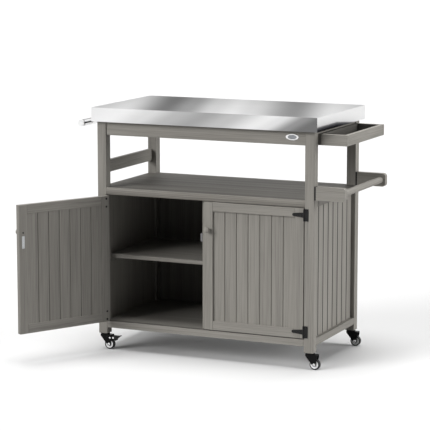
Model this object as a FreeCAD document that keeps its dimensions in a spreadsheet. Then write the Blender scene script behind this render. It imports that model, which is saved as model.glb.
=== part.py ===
import FreeCAD, Part
import os
import Sketcher

# A grill cart: a painted wooden cabinet with two doors under an open shelf and a folded
# steel worktop, a spice rack and a towel rail on its right, a push bar on its left, and
# four swivel casters. Millimetres, +X to the right of someone facing the doors, +Y to the
# back, +Z up, with the origin on the floor under the middle of the cart.

doc = FreeCAD.newDocument("grill_cart")
sheet = doc.addObject("Spreadsheet::Sheet", "Sizes")


class Size:
    """A length that knows its formula on the sheet as well as its value."""

    def __init__(self, text, value):
        self.text = text
        self.value = value

    def __add__(self, other):
        other = as_size(other)
        return Size(f"({self.text} + {other.text})", self.value + other.value)

    def __sub__(self, other):
        other = as_size(other)
        return Size(f"({self.text} - {other.text})", self.value - other.value)

    def __mul__(self, other):
        other = as_size(other)
        return Size(f"({self.text} * {other.text})", self.value * other.value)

    def __truediv__(self, other):
        other = as_size(other)
        return Size(f"({self.text} / {other.text})", self.value / other.value)

    def __neg__(self):
        return Size(f"(0 - {self.text})", -self.value)

    def __rsub__(self, other):
        return as_size(other) - self

    __radd__ = __add__
    __rmul__ = __mul__


def as_size(number):
    if isinstance(number, Size):
        return number
    return Size(str(number), number)


rows = []


def size(alias, value):
    """Writes one driving dimension to the sheet."""
    rows.append(alias)
    sheet.set(f"A{len(rows)}", alias)
    sheet.set(f"B{len(rows)}", str(value))
    sheet.setAlias(f"B{len(rows)}", alias)
    return Size(f"Sizes.{alias}", value)


# Doors, and the frame that they fill
door_width = size("door_width", 395)
door_height = size("door_height", 480)
door_thickness = size("door_thickness", 18)
door_gap = size("door_gap", 2.5)
side_gap = size("side_gap", 3)
middle_gap = size("middle_gap", 5)
stile_width = size("stile_width", 35)
door_panel_thickness = size("door_panel_thickness", 9)
door_panel_recess = size("door_panel_recess", 7)
tongue = size("tongue", 6)
door_planks = size("door_planks", 7)
left_door_angle = size("left_door_angle", 119)

# Carcass
leg_side = size("leg_side", 36)
bay_depth = size("bay_depth", 394)
caster_height = size("caster_height", 62)
foot_height = size("foot_height", 24)
rail_height = size("rail_height", 26)
rail_thickness = size("rail_thickness", 20)
floor_thickness = size("floor_thickness", 9)
shelf_thickness = size("shelf_thickness", 26)
open_height = size("open_height", 198)
apron_height = size("apron_height", 85)
apron_thickness = size("apron_thickness", 18)
apron_inset = size("apron_inset", 4)
mid_rail_lift = size("mid_rail_lift", 50)
mid_rail_height = size("mid_rail_height", 46)
mid_rail_thickness = size("mid_rail_thickness", 18)
side_panel_thickness = size("side_panel_thickness", 12)
side_panel_inset = size("side_panel_inset", 15)
side_planks = size("side_planks", 8)
groove_width = size("groove_width", 4)
groove_depth = size("groove_depth", 2.5)
side_groove_width = size("side_groove_width", 5)
side_groove_depth = size("side_groove_depth", 5)
back_thickness = size("back_thickness", 6)
back_drop = size("back_drop", 10)
inner_shelf_thickness = size("inner_shelf_thickness", 14)
inner_shelf_lift = size("inner_shelf_lift", 252)
inner_shelf_play = size("inner_shelf_play", 0.5)
cleat_side = size("cleat_side", 15)
cleat_stop = size("cleat_stop", 12)
post_width = size("post_width", 25)
post_gap = size("post_gap", 2)
catch_width = size("catch_width", 8)
catch_height = size("catch_height", 30)
catch_centre = size("catch_centre", 344)
catch_gap = size("catch_gap", 0.5)
arris = size("arris", 1)

# Worktop
side_overhang = size("side_overhang", 16)
front_overhang = size("front_overhang", 17)
core_thickness = size("core_thickness", 18)
core_play = size("core_play", 2)
sheet_thickness = size("sheet_thickness", 1)
skirt_height = size("skirt_height", 53)
fold_radius = size("fold_radius", 2)

# Spice rack, towel rail and push bar
rack_depth = size("rack_depth", 111.5)
rack_height = size("rack_height", 40)
rack_wall = size("rack_wall", 14)
rack_floor_thickness = size("rack_floor_thickness", 4)
rack_floor_lift = size("rack_floor_lift", 2)
bracket_length = size("bracket_length", 112.5)
bracket_height = size("bracket_height", 49.5)
bracket_thickness = size("bracket_thickness", 22)
bracket_radius = size("bracket_radius", 12)
bracket_lift = size("bracket_lift", 2)
mount_plate_thickness = size("mount_plate_thickness", 6)
dowel_radius = size("dowel_radius", 12)
dowel_setback = size("dowel_setback", 21)
dowel_socket = size("dowel_socket", 10)
bar_radius = size("bar_radius", 13)
bar_reach = size("bar_reach", 85.5)
bar_length = size("bar_length", 404)
bar_lift = size("bar_lift", 36)
stay_spread = size("stay_spread", 250)
stay_radius = size("stay_radius", 6)
stay_socket = size("stay_socket", 3)
plate_side = size("plate_side", 30)
plate_thickness = size("plate_thickness", 4)

# Hinges, knobs and strike plates
barrel_radius = size("barrel_radius", 3)
hinge_pin_radius = size("hinge_pin_radius", 1.5)
running_play = size("running_play", 0.05)
leaf_thickness = size("leaf_thickness", 2)
leaf_width = size("leaf_width", 16)
leaf_height = size("leaf_height", 44)
knuckle_gap = size("knuckle_gap", 0.4)
strap_length = size("strap_length", 46)
strap_root = size("strap_root", 18)
strap_tip = size("strap_tip", 11.5)
hinge_inset = size("hinge_inset", 25)
knob_radius = size("knob_radius", 10.5)
knob_neck = size("knob_neck", 5.5)
knob_length = size("knob_length", 22)
knob_drop = size("knob_drop", 103)
strike_width = size("strike_width", 11)
strike_height = size("strike_height", 45)
strike_thickness = size("strike_thickness", 1)

# Casters
wheel_radius = size("wheel_radius", 19.5)
wheel_width = size("wheel_width", 17)
trail = size("trail", 20)
wheel_play = size("wheel_play", 1)
cheek_thickness = size("cheek_thickness", 1.8)
cheek_front = size("cheek_front", 15)
cheek_back = size("cheek_back", 31)
cheek_boss = size("cheek_boss", 7.5)
crown_thickness = size("crown_thickness", 3)
head_radius = size("head_radius", 17)
head_thickness = size("head_thickness", 5)
head_gap = size("head_gap", 0.5)
kingpin_radius = size("kingpin_radius", 4)
nut_radius = size("nut_radius", 7)
nut_thickness = size("nut_thickness", 2)
nut_gap = size("nut_gap", 0.4)
axle_radius = size("axle_radius", 3)
bolt_head_radius = size("bolt_head_radius", 5.5)
bolt_head_thickness = size("bolt_head_thickness", 2)
pedal_width = size("pedal_width", 17)
pedal_pin_radius = size("pedal_pin_radius", 2)
pedal_pin_back = size("pedal_pin_back", 12)
pedal_pin_height = size("pedal_pin_height", 47.5)
pedal_length = size("pedal_length", 52)
pedal_depth = size("pedal_depth", 4.5)
shoe_gap = size("shoe_gap", 1.6)

doc.recompute()

# Levels and lines that several pieces share
inner_x = door_width + side_gap + middle_gap / 2
outer_x = inner_x + leg_side
inner_y = bay_depth / 2
outer_y = inner_y + leg_side
rail_level = caster_height + foot_height
floor_level = rail_level + rail_height
door_level = floor_level + door_gap
shelf_level = door_level + door_height + door_gap
shelf_top = shelf_level + shelf_thickness
apron_level = shelf_top + open_height
core_level = apron_level + apron_height
sheet_level = core_level + core_thickness
worktop_level = sheet_level + sheet_thickness
worktop_x = outer_x + side_overhang
worktop_y = outer_y + front_overhang
back_y = outer_y - back_thickness
panel_outer_x = outer_x - side_panel_inset
panel_inner_x = panel_outer_x - side_panel_thickness
apron_x = outer_x - apron_inset
apron_y = outer_y - apron_inset
inner_shelf_top = floor_level + inner_shelf_lift
inner_shelf_level = inner_shelf_top - inner_shelf_thickness
catch_level = floor_level + catch_centre

nodes = []


def bind(thing, name, length):
    thing.setExpression(name, as_size(length).text)


def new_body(name, place=(0, 0, 0), turn=None, is_node=True):
    """A body whose Placement follows the sheet, turned about +Z where a door is open."""
    body = doc.addObject("PartDesign::Body", name)
    body.Label = name
    for axis, distance in zip("xyz", place):
        bind(body, f"Placement.Base.{axis}", distance)
    if turn is not None:
        bind(body, "Placement.Rotation.Angle", turn)
    if is_node:
        nodes.append(body)
    return body


def group(name, bodies):
    """One sub-part made of several like pieces that stay separate solids."""
    pieces = doc.addObject("Part::Compound", name)
    pieces.Label = name
    pieces.Links = bodies
    nodes.append(pieces)
    return pieces


def block(body, corner, spans, kind="Additive"):
    feature = body.newObject(f"PartDesign::{kind}Box", f"{body.Name}_{kind}")
    for side, span in zip(("Length", "Width", "Height"), spans):
        bind(feature, side, span)
    for axis, distance in zip("xyz", corner):
        bind(feature, f"Placement.Base.{axis}", distance)
    return feature


def hollow(body, corner, spans):
    return block(body, corner, spans, "Subtractive")


def ease(body, feature, amount=arris, numbers=range(1, 13)):
    """Takes the sharp arris off a planed board."""
    chamfer = body.newObject("PartDesign::Chamfer", f"{body.Name}_arris")
    chamfer.Base = (feature, [f"Edge{number}" for number in numbers])
    bind(chamfer, "Size", amount)
    return chamfer


ALONG = {
    "x": FreeCAD.Rotation(FreeCAD.Vector(0, 1, 0), 90),
    "y": FreeCAD.Rotation(FreeCAD.Vector(1, 0, 0), -90),
    "z": FreeCAD.Rotation(),
}


def rod(body, start, radius, length, axis, kind="Additive"):
    feature = body.newObject(f"PartDesign::{kind}Cylinder", f"{body.Name}_{kind}_round")
    feature.Placement = FreeCAD.Placement(FreeCAD.Vector(), ALONG[axis])
    bind(feature, "Radius", radius)
    bind(feature, "Height", length)
    for name, distance in zip("xyz", start):
        bind(feature, f"Placement.Base.{name}", distance)
    return feature


def bore(body, start, radius, length, axis):
    return rod(body, start, radius, length, axis, "Subtractive")


def board(name, corner, spans, is_node=True):
    """A planed board, given by its low corner and its length along X, Y and Z."""
    body = new_body(name, corner, is_node=is_node)
    ease(body, block(body, (0, 0, 0), spans))
    return body


def draw(sketch, path):
    """Draws one closed path. A corner is (x, y), and (x, y, centre x, centre y, turn) where
    an arc comes to it from the corner before, counter-clockwise for a turn of 1."""
    first = sketch.GeometryCount
    ends = []
    for number, corner in enumerate(path):
        before = path[number - 1]
        tail = FreeCAD.Vector(as_size(before[0]).value, as_size(before[1]).value, 0)
        tip = FreeCAD.Vector(as_size(corner[0]).value, as_size(corner[1]).value, 0)
        if len(corner) == 2:
            sketch.addGeometry(Part.LineSegment(tail, tip))
            ends.append((1, 2))
            continue
        centre = FreeCAD.Vector(as_size(corner[2]).value, as_size(corner[3]).value, 0)
        circle = Part.Circle(centre, FreeCAD.Vector(0, 0, 1), (tail - centre).Length)
        start, stop = (tail, tip) if corner[4] == 1 else (tip, tail)
        sketch.addGeometry(Part.ArcOfCircle(circle, circle.parameter(start), circle.parameter(stop)))
        ends.append((1, 2) if corner[4] == 1 else (2, 1))
    for number, corner in enumerate(path):
        following = (number + 1) % len(path)
        here = (first + number, ends[number][1])
        there = (first + following, ends[following][0])
        sketch.addConstraint(Sketcher.Constraint("Coincident", *here, *there))
        held = [("DistanceX", corner[0]), ("DistanceY", corner[1])]
        if len(corner) > 2:
            for kind, distance in (("DistanceX", corner[2]), ("DistanceY", corner[3])):
                hold(sketch, kind, first + number, 3, distance)
            across = abs(as_size(corner[0] - corner[2]).value)
            upward = abs(as_size(corner[1] - corner[3]).value)
            held = held[1:] if across > upward else held[:1]
        for kind, distance in held:
            hold(sketch, kind, *here, distance)


def hold(sketch, kind, geometry, point, distance):
    """Holds one point of a sketch at a distance from the sketch's origin."""
    distance = as_size(distance)
    constraint = Sketcher.Constraint(kind, -1, 1, geometry, point, float(distance.value))
    sketch.setExpression(f"Constraints[{sketch.addConstraint(constraint)}]", distance.text)


def outline(body, plane, paths, offset=(0, 0, 0)):
    """A sketch on one of the body's own planes, moved by an offset in the sketch's axes."""
    sketch = body.newObject("Sketcher::SketchObject", f"{body.Name}_outline")
    base = [feature for feature in body.Origin.OriginFeatures if feature.Role == plane][0]
    sketch.AttachmentSupport = [(base, "")]
    sketch.MapMode = "FlatFace"
    for axis, distance in zip("xyz", offset):
        bind(sketch, f"AttachmentOffset.Base.{axis}", distance)
    for path in paths:
        draw(sketch, path)
    return sketch


def pad(body, sketch, length, middle=False, reverse=False):
    feature = body.newObject("PartDesign::Pad", f"{body.Name}_pad")
    feature.Profile = sketch
    feature.Midplane = middle
    feature.Reversed = reverse
    bind(feature, "Length", length)
    return feature


def revolve(body, sketch, axis):
    feature = body.newObject("PartDesign::Revolution", f"{body.Name}_revolution")
    feature.Profile = sketch
    feature.ReferenceAxis = (sketch, [axis])
    feature.Angle = 360
    return feature


def cut_grooves(body, triangles, axis, pitch, count):
    """Cuts V-grooves upward through a panel from its XY plane, one at each plank joint."""
    sketch = outline(body, "XY_Plane", triangles)
    pocket = body.newObject("PartDesign::Pocket", f"{body.Name}_groove")
    pocket.Profile = sketch
    pocket.Type = "ThroughAll"
    pocket.Reversed = True
    doc.recompute()
    rows_of = body.newObject("PartDesign::LinearPattern", f"{body.Name}_grooves")
    rows_of.Originals = [pocket]
    rows_of.Direction = (sketch, [axis])
    rows_of.Mode = "Spacing"
    bind(rows_of, "Offset", pitch)
    bind(rows_of, "Occurrences", count)
    body.Tip = rows_of
    return rows_of


# Legs: four square posts from the casters to the underside of the worktop's board
LEFT, RIGHT, FRONT, REAR = -1, 1, -1, 1


def low_side(side, near, span):
    """The low coordinate of a piece that starts at near from the middle, on one side."""
    if side > 0:
        return near
    return 0 - near - span


for row, y_side in (("front", FRONT), ("rear", REAR)):
    for column, x_side in (("left", LEFT), ("right", RIGHT)):
        corner = (low_side(x_side, inner_x, leg_side), low_side(y_side, inner_y, leg_side), caster_height)
        board(f"leg_{row}_{column}", corner, (leg_side, leg_side, core_level - caster_height))

# Aprons under the worktop, a little back from the faces of the legs
for row, y_side in (("front", FRONT), ("rear", REAR)):
    low = low_side(y_side, apron_y - apron_thickness, apron_thickness)
    board(f"apron_{row}", (0 - inner_x, low, apron_level), (inner_x * 2, apron_thickness, apron_height))
for column, x_side in (("left", LEFT), ("right", RIGHT)):
    low = low_side(x_side, apron_x - apron_thickness, apron_thickness)
    board(f"apron_{column}", (low, 0 - inner_y, apron_level), (apron_thickness, bay_depth, apron_height))

# One rail halfway up the open side on the left
board(
    "left_mid_rail",
    (0 - outer_x, 0 - inner_y, shelf_top + mid_rail_lift),
    (mid_rail_thickness, bay_depth, mid_rail_height),
)


def notched_board(name, low, high, level, thickness, notches):
    """A board with its corners cut away round the legs, level by level."""
    body = new_body(name, (0, 0, level))
    base = block(body, (low[0], low[1], 0), (high[0] - low[0], high[1] - low[1], thickness))
    last = ease(body, base)
    for x_side in (LEFT, RIGHT):
        for y_side in (FRONT, REAR):
            corner = (low_side(x_side, notches[0], leg_side), low_side(y_side, notches[1], leg_side), 0)
            last = hollow(body, corner, (leg_side, leg_side, thickness))
    return last


# The open shelf is the roof of the cabinet, and the cabinet's floor lies between its rails
notched_board(
    "open_shelf",
    (0 - outer_x, 0 - outer_y),
    (outer_x, back_y),
    shelf_level,
    shelf_thickness,
    (inner_x, inner_y),
)
notched_board(
    "cabinet_floor",
    (rail_thickness - outer_x, rail_thickness - outer_y),
    (outer_x - rail_thickness, back_y - rail_thickness),
    floor_level - floor_thickness,
    floor_thickness,
    (inner_x, inner_y),
)
board("floor_rail_front", (0 - inner_x, 0 - outer_y, rail_level), (inner_x * 2, rail_thickness, rail_height))
board(
    "floor_rail_rear",
    (0 - inner_x, back_y - rail_thickness, rail_level),
    (inner_x * 2, rail_thickness, rail_height),
)
group(
    "floor_rails_side",
    [
        board(
            f"floor_rail_{column}",
            (low_side(x_side, outer_x - rail_thickness, rail_thickness), 0 - inner_y, rail_level),
            (rail_thickness, bay_depth, rail_height),
            is_node=False,
        )
        for column, x_side in (("left", LEFT), ("right", RIGHT))
    ],
)

# Side panels of planks, joined with V-grooves that show outside
plank_pitch = bay_depth / side_planks
for column, x_side in (("left", LEFT), ("right", RIGHT)):
    panel = new_body(
        f"side_panel_{column}",
        (low_side(x_side, panel_inner_x, side_panel_thickness), 0 - inner_y, floor_level),
    )
    block(panel, (0, 0, 0), (side_panel_thickness, bay_depth, shelf_level - floor_level))
    outer_face = side_panel_thickness if x_side == RIGHT else as_size(0)
    groove_floor = outer_face - side_groove_depth * x_side
    groove = [
        (outer_face, plank_pitch - side_groove_width / 2),
        (outer_face, plank_pitch + side_groove_width / 2),
        (groove_floor, plank_pitch),
    ]
    cut_grooves(panel, [groove], "V_Axis", plank_pitch, side_planks - 1)

# Back panel behind the floor rail and the open shelf, let in between the rear legs
board(
    "back_panel",
    (0 - inner_x, back_y, rail_level),
    (inner_x * 2, back_thickness, shelf_top - back_drop - rail_level),
)

# The inner shelf lies on two cleats screwed to the side panels
board(
    "inner_shelf",
    (inner_shelf_play - panel_inner_x, 0 - inner_y, inner_shelf_level),
    (panel_inner_x * 2 - inner_shelf_play * 2, bay_depth, inner_shelf_thickness),
)
group(
    "shelf_cleats",
    [
        board(
            f"shelf_cleat_{column}",
            (
                low_side(x_side, panel_inner_x - cleat_side, cleat_side),
                cleat_stop - inner_y,
                inner_shelf_level - cleat_side,
            ),
            (cleat_side, bay_depth - cleat_stop * 2, cleat_side),
            is_node=False,
        )
        for column, x_side in (("left", LEFT), ("right", RIGHT))
    ],
)

# A slim post behind the meeting edges of the doors carries a magnetic catch on each side
post_front = door_thickness + post_gap - outer_y
board(
    "door_post",
    (0 - post_width / 2, post_front, floor_level),
    (post_width, 0 - inner_y - post_front, shelf_level - floor_level),
)
catch_front = door_thickness + strike_thickness + catch_gap - outer_y
group(
    "magnetic_catches",
    [
        board(
            f"magnetic_catch_{column}",
            (low_side(x_side, post_width / 2, catch_width), catch_front, catch_level - catch_height / 2),
            (catch_width, 0 - inner_y - catch_front, catch_height),
            is_node=False,
        )
        for column, x_side in (("left", LEFT), ("right", RIGHT))
    ],
)

# Worktop: a board, and over it a steel sheet folded down into a skirt on all four sides
board(
    "worktop_board",
    (core_play + sheet_thickness - worktop_x, core_play + sheet_thickness - worktop_y, core_level),
    (
        (worktop_x - core_play - sheet_thickness) * 2,
        (worktop_y - core_play - sheet_thickness) * 2,
        core_thickness,
    ),
)
TOP_EDGES = ["Edge2", "Edge6", "Edge10", "Edge12"]
worktop = new_body("steel_worktop", (0 - worktop_x, 0 - worktop_y, worktop_level - skirt_height))
folded = block(worktop, (0, 0, 0), (worktop_x * 2, worktop_y * 2, skirt_height))
folds = worktop.newObject("PartDesign::Fillet", "steel_worktop_folds")
folds.Base = (folded, TOP_EDGES)
bind(folds, "Radius", fold_radius)
hollow(
    worktop,
    (sheet_thickness, sheet_thickness, 0),
    (
        (worktop_x - sheet_thickness) * 2,
        (worktop_y - sheet_thickness) * 2,
        skirt_height - sheet_thickness,
    ),
)

# Spice rack: an open tray screwed to the right apron between the legs
rack_outer_x = outer_x + rack_depth
board("rack_back", (apron_x, 0 - inner_y, apron_level), (rack_wall, bay_depth, rack_height))
board(
    "rack_front",
    (rack_outer_x - rack_wall, rack_wall - inner_y, apron_level),
    (rack_wall, bay_depth - rack_wall * 2, rack_height),
)
group(
    "rack_ends",
    [
        board(
            f"rack_end_{row}",
            (apron_x + rack_wall, low_side(y_side, inner_y - rack_wall, rack_wall), apron_level),
            (rack_outer_x - apron_x - rack_wall, rack_wall, rack_height),
            is_node=False,
        )
        for row, y_side in (("front", FRONT), ("rear", REAR))
    ],
)
board(
    "rack_bottom",
    (apron_x + rack_wall, rack_wall - inner_y, apron_level + rack_floor_lift),
    (rack_outer_x - apron_x - rack_wall * 2, bay_depth - rack_wall * 2, rack_floor_thickness),
)

# Towel rail: a dowel let into two round-cornered brackets, each flush with the front of its
# right leg and held off the leg by a thick plate
bracket_level = shelf_top + bracket_lift
bracket_x = outer_x + mount_plate_thickness
dowel_x = bracket_x + bracket_length - dowel_setback
dowel_z = bracket_level + bracket_height / 2
brackets = []
plates = []
for row, bracket_y in (("front", 0 - outer_y), ("rear", inner_y)):
    plate = new_body(f"towel_plate_{row}", (outer_x, bracket_y, bracket_level), is_node=False)
    block(plate, (0, 0, 0), (mount_plate_thickness, bracket_thickness, bracket_height))
    plates.append(plate)
    bracket = new_body(f"towel_bracket_{row}", (bracket_x, bracket_y, bracket_level), is_node=False)
    rounded_end = [
        (0, 0),
        (bracket_length - bracket_radius, 0),
        (bracket_length, bracket_radius, bracket_length - bracket_radius, bracket_radius, 1),
        (bracket_length, bracket_height - bracket_radius),
        (
            bracket_length - bracket_radius,
            bracket_height,
            bracket_length - bracket_radius,
            bracket_height - bracket_radius,
            1,
        ),
        (0, bracket_height),
    ]
    face = outline(bracket, "XZ_Plane", [rounded_end])
    pad(bracket, face, bracket_thickness, reverse=True)
    socket_y = bracket_thickness - dowel_socket if row == "front" else as_size(0)
    bore(
        bracket,
        (bracket_length - dowel_setback, socket_y, bracket_height / 2),
        dowel_radius,
        dowel_socket,
        "y",
    )
    brackets.append(bracket)
group("towel_plates", plates)
group("towel_brackets", brackets)
dowel_y = bracket_thickness - dowel_socket - outer_y
dowel = new_body("towel_dowel", (dowel_x, dowel_y, dowel_z))
rod(dowel, (0, 0, 0), dowel_radius, inner_y + dowel_socket - dowel_y, "y")

# Push bar: a polished tube with rounded end caps on two stays from the left apron
bar_x = 0 - outer_x - bar_reach
bar_z = apron_level + bar_lift
bar = new_body("push_bar", (bar_x, 0 - bar_length / 2, bar_z))
rod(bar, (0, 0, 0), bar_radius, bar_length, "y")
stay_length = bar_reach + apron_inset - bar_radius + stay_socket
stays = []
for row, y_side in (("front", FRONT), ("rear", REAR)):
    stay_y = stay_spread * y_side / 2
    bore(bar, (bar_radius - stay_socket, bar_length / 2 + stay_y, 0), stay_radius, bar_radius, "x")
    stay = new_body(f"push_bar_stay_{row}", (0 - apron_x - stay_length, stay_y, bar_z), is_node=False)
    rod(stay, (0, 0, 0), stay_radius, stay_length, "x")
    corner = (stay_length - plate_thickness, 0 - plate_side / 2, 0 - plate_side / 2)
    block(stay, corner, (plate_thickness, plate_side, plate_side))
    stays.append(stay)
group("push_bar_stays", stays)

# Doors: each hangs on two strap hinges and is drawn closed in its own frame, with the
# hinge axis as its Z axis. The body's Placement sets it on its leg and turns it.
hinge_y = 0 - outer_y - barrel_radius
hinge_x = inner_x - side_gap / 2
hinge_levels = (door_level + hinge_inset, door_level + door_height - hinge_inset)
door_edge = side_gap / 2
door_front = barrel_radius
door_back = door_front + door_thickness
panel_front = door_front + door_panel_recess
panel_back = panel_front + door_panel_thickness
free_stile_middle = door_edge + door_width - stile_width / 2


def door_body(name, side, turn, is_node=True):
    return new_body(name, (hinge_x * side, hinge_y, 0), turn, is_node)


def door_piece(name, side, turn, near, level, spans, is_node):
    """A board of a door, given by its distance from the hinge axis and its level."""
    body = door_body(name, side, turn, is_node)
    low = low_side(0 - side, near, spans[0])
    ease(body, block(body, (low, door_front, level), spans))
    return body


def make_door(name, side, turn):
    away = 0 - side
    groove_y = panel_front
    groove_length = door_width - stile_width * 2
    stiles = []
    for which, near, lip in (("hinge", door_edge, 1), ("free", door_edge + door_width - stile_width, -1)):
        spans = (stile_width, door_thickness, door_height)
        stile = door_piece(f"{name}_stile_{which}", side, turn, near, door_level, spans, False)
        edge = near + stile_width - tongue if lip == 1 else near
        hollow(
            stile,
            (low_side(away, edge, tongue), groove_y, door_level + stile_width - tongue),
            (tongue, door_panel_thickness, door_height - stile_width * 2 + tongue * 2),
        )
        stiles.append(stile)
    group(f"{name}_stiles", stiles)

    rails = []
    near = door_edge + stile_width
    for which, level, lip in (("bottom", door_level, 1), ("top", door_level + door_height - stile_width, -1)):
        spans = (groove_length, door_thickness, stile_width)
        rail = door_piece(f"{name}_rail_{which}", side, turn, near, level, spans, False)
        edge = level + stile_width - tongue if lip == 1 else level
        hollow(
            rail,
            (low_side(away, near, groove_length), groove_y, edge),
            (groove_length, door_panel_thickness, tongue),
        )
        rails.append(rail)
    group(f"{name}_rails", rails)

    panel = door_body(f"{name}_panel", side, turn)
    panel_width = groove_length + tongue * 2
    block(
        panel,
        (low_side(away, near - tongue, panel_width), panel_front, door_level + stile_width - tongue),
        (panel_width, door_panel_thickness, door_height - stile_width * 2 + tongue * 2),
    )
    pitch = groove_length / door_planks
    joint = near + pitch if away > 0 else 0 - near - groove_length + pitch
    grooves = []
    for face, depth in ((panel_front, groove_depth), (panel_back, 0 - groove_depth)):
        grooves.append([(joint - groove_width / 2, face), (joint + groove_width / 2, face), (joint, face + depth)])
    cut_grooves(panel, grooves, "H_Axis", pitch, door_planks - 1)

    knob = door_body(f"{name}_knob", side, turn)
    knob_level = door_level + door_height - knob_drop
    half_knob = [
        (0, 0),
        (0, 0 - knob_length),
        (knob_radius, 0 - knob_length),
        (knob_radius, 0 - knob_length / 2),
        (knob_neck, 0 - knob_length / 2),
        (knob_neck, 0),
    ]
    profile = outline(knob, "XY_Plane", [half_knob], (free_stile_middle * away, door_front, knob_level))
    revolve(knob, profile, "V_Axis")

    straps = []
    tip_radius = strap_tip / 2
    tip_x = strap_length - tip_radius
    for number, level in enumerate(hinge_levels):
        strap = door_body(f"{name}_strap_{number + 1}", side, turn, False)
        plate = [
            (0, strap_root / 2),
            (0, 0 - strap_root / 2),
            ((barrel_radius * 2) * away, 0 - strap_root / 2),
            (tip_x * away, 0 - tip_radius),
            (tip_x * away, tip_radius, tip_x * away, 0, away),
            ((barrel_radius * 2) * away, strap_root / 2),
        ]
        face = outline(strap, "XZ_Plane", [plate], (0, level, 0 - door_front))
        pad(strap, face, leaf_thickness)
        rod(strap, (0, 0, level - strap_root / 2), barrel_radius, strap_root, "z")
        bore(strap, (0, 0, level - strap_root), hinge_pin_radius + running_play, strap_root * 2, "z")
        straps.append(strap)
    group(f"{name}_straps", straps)

    strike = door_body(f"{name}_strike", side, turn)
    block(
        strike,
        (low_side(away, free_stile_middle - strike_width / 2, strike_width), door_back, catch_level - strike_height / 2),
        (strike_width, strike_thickness, strike_height),
    )


make_door("left_door", LEFT, 0 - left_door_angle)
make_door("right_door", RIGHT, None)

# The fixed leaves of the hinges on the front legs, each with two knuckles, and their pins
leaves = []
knuckle_reach = strap_root / 2 + knuckle_gap
leaf_clear = barrel_radius + knuckle_gap
for column, side in (("left", LEFT), ("right", RIGHT)):
    for number, level in enumerate(hinge_levels):
        leaf = new_body(f"hinge_leaf_{column}_{number + 1}", (hinge_x * side, hinge_y, level), is_node=False)
        plate = [
            (0, leaf_height / 2),
            (0, knuckle_reach),
            (leaf_clear * side, knuckle_reach),
            (leaf_clear * side, 0 - knuckle_reach),
            (0, 0 - knuckle_reach),
            (0, 0 - leaf_height / 2),
            (leaf_width * side, 0 - leaf_height / 2),
            (leaf_width * side, leaf_height / 2),
        ]
        pad(leaf, outline(leaf, "XZ_Plane", [plate], (0, 0, 0 - barrel_radius)), leaf_thickness)
        knuckle_height = leaf_height / 2 - knuckle_reach
        rod(leaf, (0, 0, knuckle_reach), barrel_radius, knuckle_height, "z")
        rod(leaf, (0, 0, 0 - leaf_height / 2), barrel_radius, knuckle_height, "z")
        rod(leaf, (0, 0, 0 - knuckle_reach), hinge_pin_radius, knuckle_reach * 2, "z")
        leaves.append(leaf)
group("hinge_leaves", leaves)

# Casters: a round head under each leg, a pressed fork that swivels on the head's kingpin
# and trails to the right, a wheel on the fork's axle bolt, and on the left pair a brake
# pedal. Each is drawn with its kingpin as Z axis and the floor at zero.
head_bottom = caster_height - head_thickness
crown_top = head_bottom - head_gap
crown_bottom = crown_top - crown_thickness
nut_top = crown_bottom - nut_gap
slot_half = wheel_width / 2 + wheel_play
fork_half = slot_half + cheek_thickness
DIAGONAL = 0.5 ** 0.5


def hexagon(body, place, radius, height, axis):
    """A bolt head or nut, fused with the piece that it belongs to."""
    feature = body.newObject("PartDesign::AdditivePrism", f"{body.Name}_nut")
    feature.Placement = FreeCAD.Placement(FreeCAD.Vector(), ALONG[axis])
    feature.Polygon = 6
    bind(feature, "Circumradius", radius)
    bind(feature, "Height", height)
    for name, distance in zip("xyz", place):
        bind(feature, f"Placement.Base.{name}", distance)
    return feature


def caster_head(name, place):
    head = new_body(name, place, is_node=False)
    rod(head, (0, 0, head_bottom), head_radius, head_thickness, "z")
    rod(head, (0, 0, nut_top), kingpin_radius, head_bottom - nut_top, "z")
    hexagon(head, (0, 0, nut_top - nut_thickness), nut_radius, nut_thickness, "z")
    return head


def caster_fork(name, place, braked):
    """A wide pad of the cheeks' outline, slotted for the wheel, with the axle bolt in it."""
    fork = new_body(f"{name}_fork", place)
    cheek = [
        (0 - cheek_front, crown_top),
        (0 - cheek_front, crown_bottom - crown_thickness),
        (trail - cheek_boss * DIAGONAL, wheel_radius - cheek_boss * DIAGONAL),
        (trail + cheek_boss, wheel_radius, trail, wheel_radius, 1),
        (cheek_back - crown_thickness, wheel_radius + cheek_boss * 2),
        (cheek_back, crown_bottom - cheek_boss),
        (cheek_back, crown_top),
    ]
    pad(fork, outline(fork, "XZ_Plane", [cheek]), fork_half * 2, middle=True)
    slot_length = cheek_back * 2 + cheek_front
    hollow(fork, (0 - cheek_front * 2, 0 - slot_half, 0), (slot_length, slot_half * 2, crown_bottom))
    bore(fork, (0, 0, crown_bottom / 2), kingpin_radius + running_play, crown_top, "z")
    rod(fork, (trail, 0 - slot_half, wheel_radius), axle_radius, slot_half * 2, "y")
    for end_y in (fork_half, 0 - fork_half - bolt_head_thickness):
        hexagon(fork, (trail, end_y, wheel_radius), bolt_head_radius, bolt_head_thickness, "y")
    if braked:
        hole_y = 0 - fork_half * 2
        hole_radius = pedal_pin_radius + running_play
        bore(fork, (pedal_pin_back, hole_y, pedal_pin_height), hole_radius, fork_half * 4, "y")


def caster_wheel(name, place):
    wheel = new_body(f"{name}_wheel", place)
    rod(wheel, (trail, 0 - wheel_width / 2, wheel_radius), wheel_radius, wheel_width, "y")
    bore(wheel, (trail, 0 - wheel_width, wheel_radius), axle_radius + running_play, wheel_width * 2, "y")


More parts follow.
